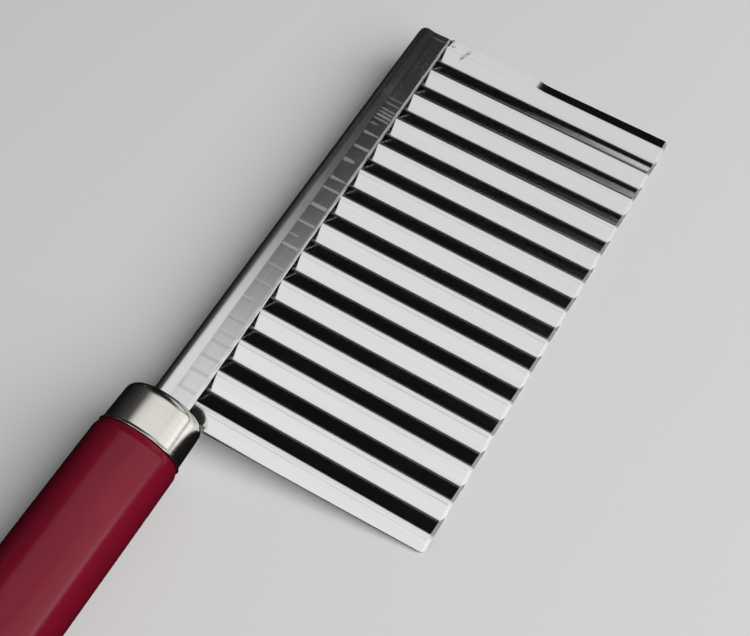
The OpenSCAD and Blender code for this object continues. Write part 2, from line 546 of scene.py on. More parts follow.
@dataclass(frozen=True)
class BladeSteel(BrushedSteel):
    """Bright steel with a ground bevel, matte bends and a tool line before each ridge."""

    CALM = 0.7
    LINE_CORE = 0.3
    LINE_GRAIN = (300.0, 60.0, 300.0)
    LINE_BREAKS = (0.35, 0.65, 0.3, 1.0)
    LINE_FADE = (0.8, 0.3)
    LINE_WAVES = 12
    LINE_GREY = (0.42, 0.42, 0.43)
    LINE_SHARE = 0.55
    LINE_DEPTH = 1.5
    BEND_HALF = (0.3, 0.65)
    BEND_END = (1.0, 2.0)
    BEVEL_BLUR = 0.05
    SMEAR_SCALE = 1300.0
    SMEAR_BLOTCHES = (0.36, 0.6, 0.1, 0.8)
    SMEAR_GREY = (0.16, 0.15, 0.15)

    pitch: float
    ridge_x: float
    last_bend: float
    bend_roughness: float
    line_x: float
    line_half: float
    bevel_top: float
    bevel_colour: Colour
    bevel_roughness: float
    far_shade_ramp: Pair
    smears: tuple[Smear, ...]

    def detail(self, bench: Bench, place: Socket, surface: Surface) -> Surface:
        """Calms the brushing, darkens the colour towards the far end as painted shade, and adds tool lines,
        matte bends, the bevel and smears by the spine's end.
        """
        along, across = bench.axis(place, "X"), bench.axis(place, "Y")
        beside = bench.math("PINGPONG", bench.minus(along, self.line_x), self.pitch / 2)
        line = bench.remap(beside, self.LINE_CORE * self.line_half, self.line_half, 1.0, 0.0)
        grain = bench.noise(bench.scaled(place, self.LINE_GRAIN), 1.0)
        line = bench.times(line, bench.remap(grain, *self.LINE_BREAKS))
        line_end = self.line_x + self.LINE_WAVES * self.pitch
        line = bench.times(line, bench.remap(along, self.line_x, line_end, *self.LINE_FADE))
        low, high = self.bevel_top - self.BEVEL_BLUR, self.bevel_top + self.BEVEL_BLUR
        bevel = bench.remap(across, low, high, 1.0, 0.0)
        beside = bench.math("PINGPONG", bench.minus(along, self.ridge_x), self.pitch / 4)
        bend = bench.remap(beside, *self.BEND_HALF, 1.0, 0.0)
        low, high = (self.last_bend + past for past in self.BEND_END)
        bend = bench.times(bend, bench.remap(along, low, high, 1.0, 0.0))
        colour = bench.mix(self.CALM, surface.colour, rgba(self.colour))
        # Painted shade: the colour darkens along the blade towards the far end, standing in for the lamp's
        # reflection falling off there.
        colour = bench.mix(bench.remap(along, *self.far_shade_ramp), colour, rgba(self.shade))
        colour = bench.mix(bench.times(line, self.LINE_SHARE), colour, rgba(self.LINE_GREY))
        blotch = bench.remap(bench.noise(place, self.SMEAR_SCALE, 3.0), *self.SMEAR_BLOTCHES)
        for smear in self.smears:
            spot = bench.times(smear.mask(bench, along, across), blotch)
            colour = bench.mix(spot, colour, rgba(self.SMEAR_GREY))
        colour = bench.mix(bevel, colour, rgba(self.bevel_colour))
        rough = bench.weighed(surface.roughness, (bevel, self.bevel_roughness), (bend, self.bend_roughness))
        height = bench.minus(surface.height, bench.times(line, self.LINE_DEPTH))
        return Surface(colour, rough, height)


@dataclass(frozen=True)
class PressedSteel(BrushedSteel):
    """Satin steel with a mottled strip and matte bands where the press closed it."""

    STRIP_BLUR = 0.6
    GRAIN = (2600.0, 1700.0, 1700.0)
    GRAIN_RANGE = (0.38, 0.68)
    NEAR_MOTTLE = 0.4
    MOTTLE_ROUGHNESS = 0.05
    CRIMP_ROUGHNESS = 0.28
    BACK_ROUGHNESS = 0.01
    LIP_ROUGHNESS = -0.05
    LIP_SHADE_SHARE = 0.7

    strip_from: float
    strip_to: float
    mottle_near: float
    mottle_far: float
    lip_shade_colour: Colour

    def detail(self, bench: Bench, place: Socket, surface: Surface) -> Surface:
        """Adds mottling that grows towards the far end, the matte bands, the back's roughness, and on the lip
        less roughness and a darker colour, a painted shade that dims its highlight.
        """
        along, across = bench.axis(place, "X"), bench.axis(place, "Y")
        middle = (self.strip_from + self.strip_to) / 2
        half = abs(self.strip_to - self.strip_from) / 2
        strip = bench.band(across, middle, half, self.STRIP_BLUR)
        grain = bench.noise(bench.scaled(place, self.GRAIN), 1.0, 4.0)
        grows = bench.remap(along, self.mottle_near, self.mottle_far, self.NEAR_MOTTLE, 1.0)
        mottle = bench.times(bench.remap(grain, *self.GRAIN_RANGE), bench.times(strip, grows))
        lip = bench.stored(Mask.LIP.value)
        # Painted shade: the lip is mixed to a darker grey so that its mirrored highlight is dimmer.
        colour = bench.mix(bench.times(lip, self.LIP_SHADE_SHARE), surface.colour, rgba(self.lip_shade_colour))
        rough = bench.weighed(
            surface.roughness, (mottle, self.MOTTLE_ROUGHNESS),
            (bench.stored(Mask.CRIMP.value), self.CRIMP_ROUGHNESS),
            (bench.stored(Mask.BACK.value), self.BACK_ROUGHNESS), (lip, self.LIP_ROUGHNESS),
        )
        return Surface(colour, rough, surface.height)


@dataclass(frozen=True)
class CupSteel(BrushedSteel):
    """Polished steel with a dull face round the spine, its colour painted near black as painted shade and a
    painted dark reflection.
    """

    FACE_BLUR = 0.1

    face_from: float
    face_shade_colour: Colour
    face_roughness: float

    def detail(self, bench: Bench, place: Socket, surface: Surface) -> Surface:
        """Dulls the face and paints it near black, a painted shade."""
        low, high = self.face_from - self.FACE_BLUR, self.face_from + self.FACE_BLUR
        face = bench.remap(bench.axis(place, "X"), low, high)
        # Painted shade: the face is mixed to a near-black colour; only the added roughness is the steel's own
        # dullness.
        colour = bench.mix(face, surface.colour, rgba(self.face_shade_colour))
        return Surface(colour, bench.weighed(surface.roughness, (face, self.face_roughness)), surface.height)


@dataclass(frozen=True)
class GlossPaint(Finish):
    """Deep gloss with a faint cloudiness, hairline scratches and specks of dust."""

    CLOUD_STRETCH = (60.0, 150.0, 150.0)
    PEEL_STRETCH = (220.0, 420.0, 420.0)
    SMUDGE_SCALE = 90.0
    SMUDGE_SHARE = 0.6
    SCRATCH_SCALE = 150.0
    SCRATCH_SHARE = 0.3
    SCRATCH_DEPTH = 0.4
    SPECK_SCALE = 1100.0
    SPECK_SHARE = 0.012
    DUST_SHARE = 0.08

    dust: Colour

    def surface(self, bench: Bench, place: Socket) -> Surface:
        """Sources of colour, roughness and height at a place."""
        wear = {"Vector": place, "Smudge Scale": self.SMUDGE_SCALE, "Scratch Scale": self.SCRATCH_SCALE}
        handling = bench.shared(Effect.HANDLING, wear)
        dust = {"Vector": place, "Scale": self.SPECK_SCALE, "Share": self.SPECK_SHARE}
        specks = bench.shared(Effect.DUST, dust)["Specks"]
        cloud = bench.remap(bench.noise(bench.scaled(place, self.CLOUD_STRETCH), 1.0, 3.0), *CLOUD_RANGE)
        scratches = bench.times(handling["Scratches"], self.SCRATCH_SHARE)
        colour = bench.mix(cloud, rgba(self.shade), rgba(self.colour))
        colour = bench.mix(bench.times(specks, self.DUST_SHARE), colour, rgba(self.dust))
        marks = bench.plus(bench.times(handling["Smudge"], self.SMUDGE_SHARE), scratches)
        marks = bench.plus(marks, specks)
        roughness = bench.plus(bench.times(marks, self.spread), self.roughness)
        peel = bench.noise(bench.scaled(place, self.PEEL_STRETCH), 1.0, 1.0)
        height = bench.minus(peel, bench.times(scratches, self.SCRATCH_DEPTH))
        return Surface(colour, roughness, height)


@dataclass(frozen=True)
class PaleFloor(Finish):
    """A plain pale table, seen through from below."""

    CLOUD_SCALE = 3.0
    GRAIN_SCALE = 900.0

    def surface(self, bench: Bench, place: Socket) -> Surface:
        """Sources of colour, roughness and height at a place."""
        cloud = bench.remap(bench.noise(place, self.CLOUD_SCALE, 3.0), *CLOUD_RANGE)
        colour = bench.mix(cloud, rgba(self.shade), rgba(self.colour))
        roughness = bench.plus(bench.times(cloud, self.spread), self.roughness)
        return Surface(colour, roughness, bench.noise(place, self.GRAIN_SCALE))

    def material(self) -> bpy.types.Material:
        """Makes the material, clear on its underside."""
        material = super().material()
        bench = Bench(material.node_tree)
        nodes = material.node_tree.nodes
        shader = next(node for node in nodes if node.type == "BSDF_PRINCIPLED")
        output = next(node for node in nodes if node.type == "OUTPUT_MATERIAL")
        below = bench.add("NewGeometry").outputs["Backfacing"]
        clear = bench.add("BsdfTransparent").outputs[0]
        shown = bench.add("MixShader", {0: below, 1: shader.outputs[0], 2: clear})
        material.node_tree.links.new(shown.outputs[0], output.inputs["Surface"])
        return material


@dataclass
class Piece:
    """One piece of the cutter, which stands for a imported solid."""

    node: str
    slot: str

    def build(self) -> bpy.types.Object:
        """Builds the piece's mesh."""
        raise NotImplementedError

    def finish(self) -> Finish:
        """The piece's finish."""
        raise NotImplementedError

    def dress(self, piece: bpy.types.Object) -> None:
        """Gives the piece its material and hangs it on the frame."""
        piece.data.materials.clear()
        piece.data.materials.append(self.finish().material())
        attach(piece, BODY)
        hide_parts(self.node)


@dataclass
class Blade(Piece):
    """The corrugated blade: V-shaped waves with rounded bends and a bevel ground along the edge."""

    node: str = "blade"
    slot: str = "blade_steel"
    pitch: float = 9.0
    tilt: float = math.radians(22.5)
    ridge_r: float = 0.8
    valley_r: float = 0.95
    thickness: float = 0.5
    first_ridge: float = 4.9
    end_skew: float = 1.1
    notch_gap: float = 0.15
    corner_r: float = 1.0
    bevel_w: float = 0.7
    edge_t: float = 0.08
    near_zone: float = 2.2
    far_zone: float = 1.25
    back_reach: float = 1.88
    last_ridge: int = 13
    level: float = math.radians(-1.5)
    lift: float = math.radians(15.5)
    lift_from: Pair = (-3.2, -3.7)
    fold_at: Pair = (-32.0, -27.0)
    early: float = 0.16
    lead: float = 0.22
    far_lead: float = 0.2
    pull: float = 0.3
    pull_y: Pair = (-8.0, -64.0)
    pull_halves: float = 3.0
    far_halves: tuple[int, int] = (10, 5)
    lag: float = 0.16
    bend_steps: int = 8
    facet_shares: tuple[float, ...] = (0.03, 0.12, 0.35, 0.65, 0.88, 0.97)
    end_margin: float = 0.05
    hidden_rows: tuple[float, ...] = (0.0, -3.0)
    lift_rows: int = 7
    spine_rows: tuple[float, ...] = (-5.5, -7.0, -8.5, -10.8)
    open_from: float = -12.0
    row_step: float = 2.0
    fold_step: float = 0.25
    notch_step: float = 0.01
    corner_turns: tuple[int, ...] = (0, 20, 45, 70, 90)
    sharp: float = 25.0
    line_ahead: float = 0.9
    far_shade_past: Pair = (40.0, 60.0)

    def __post_init__(self) -> None:
        """Takes the blade's places from the frame."""
        blade, ferrule = Extent.of("blade"), Extent.of("ferrule")
        self.near_x = float(blade.low[0])
        self.far_x = float(blade.high[0])
        self.edge_y = float(blade.low[1])
        self.face_x = float(ferrule.high[0])
        self.notch_x = self.face_x + self.notch_gap
        self.notch_y = -(FERRULE_FRONT_D / 2 + self.notch_gap)
        self.ridge_x = self.near_x + self.first_ridge
        self.bevel_y = self.edge_y + self.bevel_w
        self.last_x = self.ridge_x + self.last_ridge * self.pitch
        self.arc = self.ridge_r * math.sin(self.tilt)
        self.crest = self.crown(self.ridge_r)

    def crown(self, radius: np.ndarray | float) -> np.ndarray | float:
        """Height of a bend with this radius over the middle of the waves."""
        folded = self.pitch / 4 * math.tan(self.tilt)
        return folded - radius * (1.0 / math.cos(self.tilt) - 1.0)

    def wave(self, x: np.ndarray) -> tuple[np.ndarray, np.ndarray, np.ndarray]:
        """Follows the waves at mid-sheet.

        Args:
            x: Places along the blade.

        Returns:
            Height, and the X and Z of the normal.
        """
        half = self.pitch / 2
        bend = np.round((x - self.ridge_x) / half)
        offset = x - self.ridge_x - bend * half
        up = np.where(bend % 2 == 0, 1.0, -1.0)
        radius = np.where(bend % 2 == 0, self.ridge_r, self.valley_r)
        arc = radius * math.sin(self.tilt)
        turn = np.arcsin(np.clip(offset, -arc, arc) / radius)
        high = self.crown(radius) - radius * (1.0 - np.cos(turn))
        past = np.maximum(np.abs(offset) - arc, 0.0)
        return up * (high - past * math.tan(self.tilt)), up * np.sin(turn), np.cos(turn)

    def sheet(self, x: np.ndarray, y: np.ndarray) -> tuple[np.ndarray, np.ndarray, np.ndarray]:
        """Follows the waves, with the strip past the last ridge level, or rising beside the spine.

        Args:
            x: Places along the blade.
            y: Places across the blade.

        Returns:
            Height, and the X and Z of the normal.
        """
        height, lean, rise = self.wave(x)
        turn = 2.0 * self.arc
        begin = self.last_x - self.arc - self.early
        steep, level = math.tan(self.tilt), math.tan(self.level)
        gentle = level + (math.tan(self.lift) - level) * ease(y, *self.fold_at) * ease(y, *self.lift_from)
        along = np.clip(x - begin, 0.0, turn)
        low = self.crest - self.ridge_r * (1.0 - math.cos(self.tilt)) - steep * self.early
        strip = low + steep * along - (steep - gentle) * along**2 / (2.0 * turn)
        strip = strip + np.maximum(x - begin - turn, 0.0) * gentle
        slope = steep - (steep - gentle) * along / turn
        length = np.sqrt(1.0 + slope**2)
        past = x > begin
        beyond, before = (strip, -slope / length, 1.0 / length), (height, lean, rise)
        return tuple(np.where(past, *pair) for pair in zip(beyond, before))

    def pulled(self, x: np.ndarray, y: np.ndarray) -> np.ndarray:
        """How far the waves are drawn in.

        It begins past the first ridge, is less in the valleys, and grows towards the far end and there
        towards the cutting edge.

        Args:
            x: Places along the blade.
            y: Places across the blade.

        Returns:
            Distances towards the handle.
        """
        half = self.pitch / 2
        grows = np.clip((y - self.pull_y[0]) / (self.pull_y[1] - self.pull_y[0]), 0.0, 1.0)
        even = np.clip((x - self.last_x) / half + self.pull_halves, 0.0, 1.0)
        near = ease(x, self.ridge_x + self.arc, self.ridge_x + half)
        far = ease(x, *(self.last_x - halves * half for halves in self.far_halves))
        valley = np.abs((x - self.ridge_x + half) % self.pitch - half) / half * (x < self.last_x)
        return self.lead * near + self.far_lead * far - self.lag * valley + grows * self.pull * even

    def columns(self) -> np.ndarray:
        """Places along X: close together in the bends, and beside them on the facets."""
        half = self.pitch / 2
        turns = np.sin(np.linspace(-self.tilt, self.tilt, self.bend_steps + 1))
        arcs = [radius * math.sin(self.tilt) for radius in (self.ridge_r, self.valley_r)]
        shares = np.array(self.facet_shares)
        places = []
        for number in range(-1, 2 * self.last_ridge + 1):
            bend = self.ridge_x + half * number
            places.append(bend + turns * (self.valley_r if number % 2 else self.ridge_r))
            places.append(bend + arcs[number % 2] + (half - sum(arcs)) * shares)
        places = np.concatenate(places)
        first, last = self.near_x + self.end_margin, self.far_x - self.end_margin
        inside = places[(places > first) & (places < last)]
        return np.concatenate([[self.near_x], inside, [self.far_x]])

    def rows(self) -> np.ndarray:
        """Places along Y, from the back edge, which is set apart, to the cutting edge."""
        back = [*self.hidden_rows, *np.linspace(*self.lift_from, self.lift_rows), *self.spine_rows]
        notch = [self.notch_y + self.notch_step, self.notch_y - self.notch_step]
        middle = np.arange(self.open_from, self.edge_y + self.row_step, -self.row_step)
        fold = np.arange(*self.fold_at, self.fold_step)
        corner = self.edge_y + self.corner_r * (1.0 - np.sin(np.radians(self.corner_turns)))
        rows = np.concatenate([back, notch, middle, fold, corner, [self.bevel_y]])
        return np.unique(rows.round(4))[::-1]

    def near_limit(self, y: np.ndarray) -> np.ndarray:
        """X of the near end: notched for the ferrule, then leaning back, with a rounded corner."""
        lean = self.near_x + self.end_skew * (self.notch_y - y) / (self.notch_y - self.edge_y)
        return np.where(y > self.notch_y, self.notch_x, lean + self.corner(y))

    def corner(self, y: np.ndarray) -> np.ndarray:
        """How far a rounded corner on the cutting edge draws an end in."""
        past = np.clip((self.edge_y + self.corner_r - y) / self.corner_r, 0.0, 1.0)
        return self.corner_r * (1.0 - np.sqrt(1.0 - past**2))

    def build(self) -> bpy.types.Object:
        """Builds the sheet with its two faces and its edges."""
        x, y = np.meshgrid(self.columns(), self.rows(), indexing="ij")
        near_edge = self.near_x + self.near_zone
        near = self.near_limit(y)
        x = np.where(x < near_edge, near + (x - self.near_x) * (near_edge - near) / self.near_zone, x)
        far_edge = self.far_x - self.far_zone
        far = self.far_x - self.corner(y)
        far = far + self.pulled(far, y)
        x = np.where(x > far_edge, far_edge + (x - far_edge) * (far - far_edge) / self.far_zone, x)
        y[:, 0] = ROD_RISE + (x[:, 0] - self.face_x) * math.tan(ROD_CANT) - self.back_reach
        height, lean, rise = self.sheet(x, y)
        x = x - self.pulled(x, y)
        ground = np.clip((self.bevel_y - y) / self.bevel_w, 0.0, 1.0)
        half = self.thickness / 2
        upper = half - ground * (self.thickness - self.edge_t)
        for end in (0, -1):
            rise[end] = 1.0 / rise[end]
            lean[end] = 0.0
        shell = Shell()
        top = shell.add(np.stack([x + lean * upper, y, height + rise * upper], axis=-1))
        under = shell.add(np.stack([x - lean * half, y, height - rise * half], axis=-1))
        shell.slab(top, under)
        return shell.make("corrugated_blade", self.sharp)

    def finish(self) -> Finish:
        """Bright steel, drawn along the ridges."""
        ridge_x = self.ridge_x - self.lead
        return BladeSteel(
            name="blade_bright_steel", colour=(0.9, 0.9, 0.9), shade=(0.67, 0.67, 0.675), roughness=0.1,
            spread=0.05, metallic=1.0, specular=0.5, relief=0.001, stretch=(2400.0, 55.0, 2400.0),
            smudge_scale=70.0, scratch_scale=120.0, pitch=self.pitch, ridge_x=ridge_x,
            last_bend=self.last_x - self.pitch / 2, bend_roughness=0.2, line_x=ridge_x - self.line_ahead,
            line_half=0.28, bevel_top=self.bevel_y, bevel_colour=(0.74, 0.7, 0.69), bevel_roughness=0.2,
            # far_shade_ramp darkens the blade towards the far end as painted shade.
            far_shade_ramp=(self.near_x - self.far_shade_past[0], self.far_x + self.far_shade_past[1]),
            smears=(Smear(224.1, -8.5, -29.4, 2.3, 0.55), Smear(224.8, -4.6, -60.0, 0.8, 0.3)),
        )


class Mask(Enum):
    """Values stored on the spine's points."""

    CRIMP = "crimp"
    BACK = "back"
    LIP = "lip"


@dataclass(frozen=True)
class Mark:
    """A matte band that the press left across the strip.

    The strip is counted from 0 at the lip to 1 at the crease.

    Attributes:
        at: Distance from the ferrule.
        width: Width at the middle of the strip.
        strength: How matte the band is.
        span: Where on the strip the band begins and ends.
        flare: Share by which the band is wider at the crease.
        slant: How much further along the band is at the crease.
    """

    FIRST_BLUR = (-0.05, 0.05)
    LAST_BLUR = (0.04, -0.06)

    at: float
    width: float = 0.85
    strength: float = 0.45
    span: Pair = (0.05, 0.96)
    flare: float = 0.0
    slant: float = 0.0

    def cover(self, along: np.ndarray, share: np.ndarray) -> np.ndarray:
        """How matte the strip is at places along and across it."""
        first, last = self.span
        begun = ease(share, *(first + blur for blur in self.FIRST_BLUR))
        across = begun * ease(share, *(last + blur for blur in self.LAST_BLUR))
        half = self.width / 2 * (1.0 + 2.0 * self.flare * (share - 0.5))
        away = np.abs(along - self.at - self.slant * (share - 0.5))
        return self.strength * across * ease((away - half) / BAND_BLUR, 1.0, -1.0)


BAND_BLUR = 0.16
CREASE_HALF = (0.48, 0.96)
UPPER_PART = (0.34, 0.96)
CRIMPS: tuple[Mark, ...] = (
    Mark(5.1, 0.8, 0.35),
    Mark(6.2, 2.4, 0.35, (0.86, 0.96)),
    Mark(10.0),
    Mark(14.15),
    Mark(18.3),
    Mark(21.0, 0.7, 0.3),
    Mark(25.3, 0.85, 0.5),
    Mark(31.0, 0.7, 0.5, CREASE_HALF),
    Mark(36.2, 0.6, 0.3),
    Mark(41.4, 0.6, 0.3),
    Mark(47.7, 0.65, 0.8),
    Mark(50.9, 0.5, 0.5, CREASE_HALF),
    Mark(55.0, 0.55, 0.7),
    Mark(60.6, 0.95, 0.85),
    Mark(66.2, 0.6, 0.75),
    Mark(69.6, 0.65, 0.75, flare=0.5),
    Mark(75.85, 0.85, 0.7, UPPER_PART, flare=0.55),
    Mark(80.6, 0.7, 0.9),
    Mark(85.4, 0.65, 0.8, flare=0.5),
    Mark(88.65, 0.45, 0.55, CREASE_HALF, flare=0.4),
    Mark(90.4, 0.5, 0.8, slant=0.25),
    Mark(91.6, 0.6, 1.0, slant=0.25),
    Mark(92.7, 0.45, 0.8, slant=0.25),
    Mark(93.8, 0.45, 0.7, slant=0.25),
    Mark(95.9, 0.5, 0.6, slant=0.2),
    Mark(97.6, 0.5, 0.4),
    Mark(120.3, 0.6, 0.35),
)


@dataclass
class Spine(Piece):
    """The folded sheet on the blade's back: a round back, a crease and two flanges pressed on the blade."""

    node: str = "spine"
    slot: str = "spine_steel"
    wall: float = 0.5
    lip_near: float = 8.1
    lip_far: float = 7.0
    crease_at: float = 2.3
    back_r: float = 2.08
    back_lean: float = 0.38
    flange: float = 1.666
    end_r: float = 1.5
    near_gap: float = 0.15
    far_inset: float = 0.4
    end_zone: float = 2.6
    strip_steps: int = 24
    back_steps: int = 14
    station_step: float = 0.8
    dent_step: float = 0.11
    least_step: float = 0.035
    end_steps: int = 12
    dent: float = 0.012
    wide_mark: float = 2.0
    wear: float = 0.025
    wear_waves: Pair = (0.55, 1.35)
    crease_shares: tuple[float, ...] = (0.985, 1.0)
    taper_shares: tuple[float, ...] = (0.05, 0.35, 0.7)
    mottle_zone: Pair = (95.0, 104.0)
    sharp: float = 40.0
    lip_shape: tuple[Pair, ...] = (
        (0.0, -0.44), (0.0, -0.4), (0.012, -0.372), (0.04, -0.345), (0.275, -0.19), (0.49, -0.035),
        (0.525, -0.012), (0.56, 0.0),
    )

    def __post_init__(self) -> None:
        """Takes the spine's places from the frame."""
        self.face_x = float(Extent.of("ferrule").high[0])
        self.length = float(Extent.of("blade").high[0]) - self.far_inset - self.face_x
        reach = math.hypot(self.crease_at, self.flange)
        self.slope = math.asin(self.back_r / reach) - math.atan(self.flange / self.crease_at)

    def stations(self) -> np.ndarray:
        """Places along the rod, close together at the crimp marks and at the far end."""
        plain = np.arange(self.near_gap, self.length - self.end_zone, self.station_step)
        dents = [
            mark.at + np.arange(-mark.width, mark.width, self.dent_step)
            for mark in CRIMPS if mark.width < self.wide_mark
        ]
        end = np.linspace(self.length - self.end_zone, self.length, self.end_steps)
        places = np.unique(np.concatenate([plain, *dents, end]).round(2))
        places = places[(places >= self.near_gap) & (places <= self.length)]
        apart = np.concatenate([[True], np.diff(places) > self.least_step])
        return np.unique(np.concatenate([places[apart], [self.length]]))

    def half(self, along: np.ndarray, inner: bool) -> tuple[np.ndarray, np.ndarray, dict[Mask, np.ndarray]]:
        """Upper half of a section at each station, from the lip to the back.

        Args:
            along: Stations, as a column.
            inner: Whether the inside of the fold is wanted.

        Returns:
            Distance from the rod's axis, height, and the values to be stored.
        """
        slow, quick = self.wear_waves
        worn = self.wear * (2.0 + np.sin(slow * along) + np.sin(quick * along + 1.0))
        lip = self.lip_near + (self.lip_far - self.lip_near) * along / self.length - worn
        radius = self.back_r - self.wall * inner
        flat = self.flange - self.wall * inner
        leave = radius * np.array([-math.sin(self.slope), math.cos(self.slope)])
        crease = leave[0] - (leave[1] - flat) / math.tan(self.slope)
        shape = np.array(self.lip_shape)
        lip_u = -lip + shape[None, :, 0]
        lip_z = flat + shape[None, :, 1] * (not inner) + 0.0 * along
        share = np.append(np.linspace(0.0, 1.0, self.strip_steps + 1)[1:-1], self.crease_shares)[None, :]
        strip_u = lip_u[:, -1:] + share * (crease - lip_u[:, -1:])
        cover = np.maximum.reduce([mark.cover(along, share) for mark in CRIMPS]) * (not inner)
        strip_z = flat - self.dent * cover
        taper = np.array(self.taper_shares)[None, :] + 0.0 * along
        lean = self.back_lean * (not inner)
        taper_u = crease + taper * (leave[0] - lean * leave[1] / radius - crease)
        taper_z = flat + taper * (leave[1] - flat)
        arc = np.linspace(math.pi / 2 + self.slope, 0.0, self.back_steps)[None, :] + 0.0 * along
        u = np.concatenate([lip_u, strip_u, taper_u, radius * np.cos(arc) - lean * np.sin(arc)], axis=1)
        z = np.concatenate([lip_z, strip_z, taper_z, radius * np.sin(arc)], axis=1)
        stored = {mask: np.zeros_like(u) for mask in Mask}
        first = len(self.lip_shape)
        after = first + share.size
        stored[Mask.LIP][:, :first - 1] = 1.0
        stored[Mask.CRIMP][:, first:after] = cover
        stored[Mask.BACK][:, after:] = 1.0
        return u, z, stored

    def face(self, inner: bool) -> tuple[np.ndarray, dict[Mask, np.ndarray]]:
        """Points of the fold's outside or inside, and the values to be stored on them."""
        along = self.stations()[:, None]
        u, z, stored = self.half(along, inner)
        stored = {mask: np.concatenate([value, value[:, -2::-1]], axis=1) for mask, value in stored.items()}
        u = np.concatenate([u, u[:, -2::-1]], axis=1)
        z = np.concatenate([z, -z[:, -2::-1]], axis=1)
        past = np.clip((u - self.back_r + self.end_r) / self.end_r, 0.0, 1.0)
        limit = self.length - self.end_r * (1.0 - np.sqrt(1.0 - past**2))
        zone = self.length - self.end_zone
        s = np.where(along > zone, zone + (along - zone) * (limit - zone) / self.end_zone, along + 0.0 * u)
        x = self.face_x + s * math.cos(ROD_CANT) - u * math.sin(ROD_CANT)
        y = ROD_RISE + s * math.sin(ROD_CANT) + u * math.cos(ROD_CANT)
        return np.stack([x, y, z], axis=-1), stored

    def build(self) -> bpy.types.Object:
        """Builds the fold with its outside, inside, lips and ends."""
        shell = Shell()
        (outer, outer_values), (inner, inner_values) = self.face(inner=False), self.face(inner=True)
        shell.slab(shell.add(outer), shell.add(inner))
        fold = shell.make("folded_spine", self.sharp)
        for mask in Mask:
            store(fold, mask.value, np.stack([outer_values[mask], inner_values[mask]]))
        return fold

    def finish(self) -> Finish:
        """Satin steel, drawn along the spine."""
        near, far = (self.face_x + along for along in self.mottle_zone)
        return PressedSteel(
            name="spine_satin_steel", colour=(0.87, 0.87, 0.875), shade=(0.77, 0.77, 0.775), roughness=0.2,
            spread=0.06, metallic=1.0, specular=0.5, relief=0.0014, stretch=(45.0, 2600.0, 2600.0),
            smudge_scale=110.0, scratch_scale=160.0, strip_from=-4.8, strip_to=0.4,
            # The lip's darker grey is painted shade that dims its highlight.
            mottle_near=near, mottle_far=far, lip_shade_colour=(0.74, 0.74, 0.74),
        )


@dataclass
class Ferrule(Piece):
    """The drawn cup over the handle's front, with a flared rim and a round shoulder."""

    node: str = "ferrule"
    slot: str = "ferrule_steel"
    wall: float = 0.6
    dish: float = 0.3
    shoulder_r: float = 2.2
    flare_len: float = 0.8
    rim_round: float = 0.15
    steps: int = 160
    arc_steps: int = 14
    flare_steps: int = 6
    plate_steps: int = 8
    plate_reach: float = 0.98
    side_shares: tuple[float, ...] = (0.03, 0.35, 0.7, 0.97)
    rim_turns: tuple[int, ...] = (30, 60, 90)
    face_depth: float = 0.35
    sharp: float = 35.0

    def __post_init__(self) -> None:
        """Takes the ferrule's places from the frame."""
        box = Extent.of("ferrule")
        self.rim_x, self.face_x = float(box.low[0]), float(box.high[0])
        self.rim_r = float(box.high[1])

    def profile(self) -> list[Pair]:
        """Radius and X of the cup's outside, rim and inside."""
        front_r = FERRULE_FRONT_D / 2
        side_r = front_r + (self.rim_r - front_r) / 3
        flare_x = self.rim_x + self.flare_len
        turn_x, turn_r = self.face_x - self.shoulder_r, front_r - self.shoulder_r
        quarter = np.linspace(math.pi / 2, 0.0, self.arc_steps)

        def shoulder(radius: float, turns: Iterable[float]) -> list[Pair]:
            """Points of the shoulder's outside or inside."""
            return [(turn_r + radius * math.cos(a), turn_x + radius * math.sin(a)) for a in turns]

        outer = shoulder(self.shoulder_r, quarter)
        inner = shoulder(self.shoulder_r - self.wall, reversed(quarter))
        side = [
            (front_r + (side_r - front_r) * share, turn_x + (flare_x - turn_x) * share)
            for share in self.side_shares
        ]
        flare = self.flare_len - self.rim_round
        lip = [
            (side_r + (self.rim_r - side_r) * share * share, flare_x - flare * share)
            for share in np.linspace(0.0, 1.0, self.flare_steps)
        ]
        edge = [
            (self.rim_r - self.rim_round * (1 - math.cos(a)), self.rim_x + self.rim_round * (1 - math.sin(a)))
            for a in np.radians(self.rim_turns)
        ]
        hollow = [(self.rim_r, self.rim_x), *reversed(lip[:-1])]
        bore = [(radius - self.wall, along) for radius, along in hollow]
        places = np.linspace(0.0, self.plate_reach, self.plate_steps)
        plate = [(share * turn_r, self.face_x - self.dish * (1 - share * share)) for share in places]
        back = [(radius, along - self.wall) for radius, along in reversed(plate)]
        return [*plate, *outer, *side, *lip, *edge, *bore, *inner, *back]

    def build(self) -> bpy.types.Object:
        """Turns the cup and cuts the rod's hole through its face."""
        cup = lathe("drawn_ferrule", self.profile(), self.steps, self.sharp)
        reach = self.shoulder_r + self.wall
        cutter = pin("ferrule_drill", ROD_HOLE_R, self.face_x + reach, self.face_x - reach)
        cutter.location = (0.0, ROD_RISE * MM, 0.0)
        cut(cup, cutter, self.sharp)
        return cup

    def finish(self) -> Finish:
        """Polished, slightly warm steel with fine rings from turning."""
        return CupSteel(
            name="ferrule_polished_steel", colour=(0.85, 0.82, 0.77), shade=(0.78, 0.75, 0.7), roughness=0.19,
            spread=0.06, metallic=1.0, specular=0.5, relief=0.0008, stretch=(2600.0, 40.0, 40.0),
            smudge_scale=130.0, scratch_scale=180.0, face_from=self.face_x - self.face_depth,
            # The face's near-black colour is painted shade, not the steel's own colour.
            face_shade_colour=(0.02, 0.019, 0.018), face_roughness=0.3,
        )


